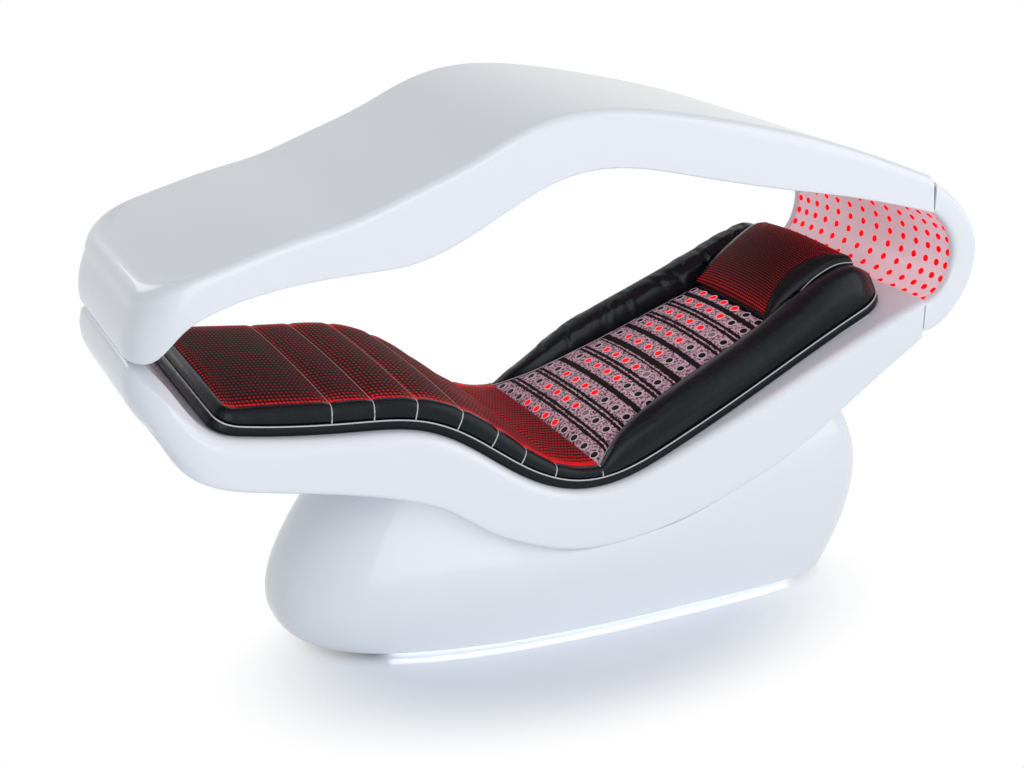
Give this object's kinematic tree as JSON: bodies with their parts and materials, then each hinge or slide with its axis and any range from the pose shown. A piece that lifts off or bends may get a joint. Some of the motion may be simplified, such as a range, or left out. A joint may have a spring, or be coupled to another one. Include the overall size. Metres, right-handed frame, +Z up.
{
  "type": "red light therapy couch",
  "caption": "Cushioned therapy couch with an upturned foot, a curved lamp hood at the head and a hinged wave-shaped canopy, on a rounded pedestal.",
  "frame": {"origin": "on the floor under the middle of the object's box", "axes": "+X from the foot end to the head end, +Y from the near side to the far side (left to right of the person who lies on it), +Z up"},
  "size_m": [2.3036, 0.76, 1.4028],
  "materials": {
    "gelcoat": "glossy white gelcoat on moulded shells",
    "leather": "black upholstery leather, semi-gloss",
    "mesh_fabric": "black open mesh over a red lit layer",
    "patterned_fabric": "speckled grey-mauve fabric with dark stripes and eyelets",
    "lamp_panel": "pale pink diffuser plastic",
    "lamp_strip": "clear lit strip",
    "steel": "powder-coated steel plate",
    "aluminium": "plain aluminium",
    "bronze": "sintered bronze",
    "rubber": "matt black rubber",
    "black_plastic": "black moulded plastic",
    "printed_circuit": "dark flexible printed circuit"
  },
  "bodies": {
    "couch": {"couch_shell": "gelcoat", "deck_panel": "black_plastic", "couch_rail_left": "steel", "couch_rail_right": "steel", "hood_shell": "gelcoat", "hood_lamp_panel": "lamp_panel", "hood_rib_left": "steel", "hood_rib_right": "steel", "hood_bolt_left_1": "steel", "hood_bolt_left_2": "steel", "hood_bolt_right_1": "steel", "hood_bolt_right_2": "steel", "hinge_shaft": "steel", "hinge_damper_left": "black_plastic", "hinge_damper_right": "black_plastic", "lip_stop_left": "rubber", "lip_stop_right": "rubber", "base_shell": "gelcoat", "base_plate": "steel", "foot_foot_end_left": "rubber", "foot_foot_end_right": "rubber", "foot_head_end_left": "rubber", "foot_head_end_right": "rubber", "underglow_left": "lamp_strip", "underglow_right": "lamp_strip", "pedestal_plate_left": "steel", "pedestal_plate_right": "steel", "power_supply_1": "aluminium", "power_supply_2": "aluminium", "control_unit": "black_plastic", "service_panel": "black_plastic", "power_inlet": "black_plastic", "switch_bezel": "black_plastic", "fan_frame": "black_plastic", "cushion_base": "leather", "leg_lamp_mat": "printed_circuit", "back_lamp_mat": "printed_circuit", "leg_pad": "mesh_fabric", "back_pad": "patterned_fabric", "bolster_left": "leather", "bolster_right": "leather", "headrest_pillow": "mesh_fabric"},
    "canopy": {"canopy_shell": "gelcoat", "canopy_liner": "lamp_panel", "canopy_rib_left": "aluminium", "canopy_rib_right": "aluminium", "hinge_bush_left": "bronze", "hinge_bush_right": "bronze", "canopy_cross_tube_1": "aluminium", "canopy_cross_tube_2": "aluminium", "canopy_cross_tube_3": "aluminium"},
    "mains_rocker": {"rocker_switch": "rubber"},
    "fan": {"fan_rotor": "black_plastic"}
  },
  "joints": [
    {"name": "canopy_hinge", "type": "hinge", "parent": "couch", "child": "canopy", "pos_m": [0.95722, 0, 1.11848], "axis": [0, 1, 0], "range_deg": [0, 35]},
    {"name": "mains_rocker_tilt", "type": "hinge", "parent": "couch", "child": "mains_rocker", "pos_m": [0.78552, -0.025, 0.11], "axis": [0, 1, 0], "range_deg": [0, 20]},
    {"name": "fan_spin", "type": "hinge", "parent": "couch", "child": "fan", "pos_m": [0.75962, 0.065, 0.11], "axis": [1, 0, 0], "continuous": true}
  ]
}
